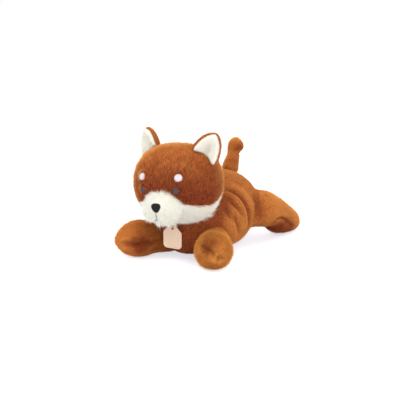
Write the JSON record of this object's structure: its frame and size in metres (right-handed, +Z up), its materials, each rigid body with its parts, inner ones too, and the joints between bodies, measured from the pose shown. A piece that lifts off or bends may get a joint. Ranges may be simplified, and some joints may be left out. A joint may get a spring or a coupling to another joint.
{
  "type": "plush toy",
  "caption": "Lying plush fox with a stuffed head, torso, legs and tail, cupped ears, a white jaw band and muzzle, stitched face and a plain swing tag",
  "frame": {"origin": "on the floor, under the middle of the belly", "axes": "+Y from the nose towards the tail and the hind feet, +X to the toy's own left, +Z up from the floor"},
  "size_m": [0.162, 0.2987, 0.166],
  "materials": {
    "rust_plush": "short orange-brown pile",
    "white_plush": "creamy white pile",
    "fibre_filling": "loose fibre",
    "grey_thread": "satin stitch",
    "black_thread": "satin stitch",
    "tag_card": "uncoated tan card",
    "tag_string": "twisted thread"
  },
  "bodies": {
    "torso": {"torso_cover": "rust_plush", "torso_filling": "fibre_filling", "tag_loop": "tag_string"},
    "head": {"head_cover": "rust_plush", "head_filling": "fibre_filling", "jaw_panel": "white_plush", "muzzle_cover": "white_plush", "muzzle_filling": "fibre_filling", "brow_spot_l": "white_plush", "brow_spot_r": "white_plush", "eye_l": "grey_thread", "eye_r": "grey_thread", "nose": "black_thread", "mouth_stitch": "black_thread"},
    "ear_l": {"ear_back_l": "rust_plush", "ear_lining_l": "white_plush"},
    "ear_r": {"ear_back_r": "rust_plush", "ear_lining_r": "white_plush"},
    "front_leg_l": {"front_leg_l_cover": "rust_plush", "front_leg_l_filling": "fibre_filling"},
    "hind_leg_l": {"hind_leg_l_cover": "rust_plush", "hind_leg_l_filling": "fibre_filling"},
    "front_leg_r": {"front_leg_r_cover": "rust_plush", "front_leg_r_filling": "fibre_filling"},
    "hind_leg_r": {"hind_leg_r_cover": "rust_plush", "hind_leg_r_filling": "fibre_filling"},
    "tail": {"tail_cover": "rust_plush", "tail_filling": "fibre_filling"},
    "tag": {"tag": "tag_card"}
  },
  "joints": [
    {"name": "head_nod", "type": "hinge", "parent": "torso", "child": "head", "pos_m": [0, -0.072, 0.101], "axis": [0.9948, 0.087, 0.0523], "range_deg": [-12, 12]},
    {"name": "ear_l_bend", "type": "hinge", "parent": "head", "child": "ear_l", "pos_m": [0.03946, -0.07253, 0.14085], "axis": [0.7895, 0.3914, -0.4727], "range_deg": [-15, 15]},
    {"name": "ear_r_bend", "type": "hinge", "parent": "head", "child": "ear_r", "pos_m": [-0.03991, -0.06978, 0.13944], "axis": [0.866, -0.2729, 0.4191], "range_deg": [-15, 15]},
    {"name": "front_leg_l_swing", "type": "hinge", "parent": "torso", "child": "front_leg_l", "pos_m": [0.0345, -0.046, 0.0232], "axis": [0, 0, 1], "range_deg": [-4, 14]},
    {"name": "hind_leg_l_swing", "type": "hinge", "parent": "torso", "child": "hind_leg_l", "pos_m": [0.036, 0.062, 0.044], "axis": [0, 0, -1], "range_deg": [-4, 14]},
    {"name": "front_leg_r_swing", "type": "hinge", "parent": "torso", "child": "front_leg_r", "pos_m": [-0.0345, -0.046, 0.0232], "axis": [0, 0, -1], "range_deg": [-4, 14]},
    {"name": "hind_leg_r_swing", "type": "hinge", "parent": "torso", "child": "hind_leg_r", "pos_m": [-0.036, 0.062, 0.044], "axis": [0, 0, 1], "range_deg": [-4, 14]},
    {"name": "tail_bend", "type": "hinge", "parent": "torso", "child": "tail", "pos_m": [0, 0.051, 0.1015], "axis": [1, 0, 0], "range_deg": [-20, 20]},
    {"name": "tag_swing", "type": "hinge", "parent": "torso", "child": "tag", "pos_m": [0, -0.0862, 0.046], "axis": [-1, 0, 0], "range_deg": [0, 45]}
  ]
}
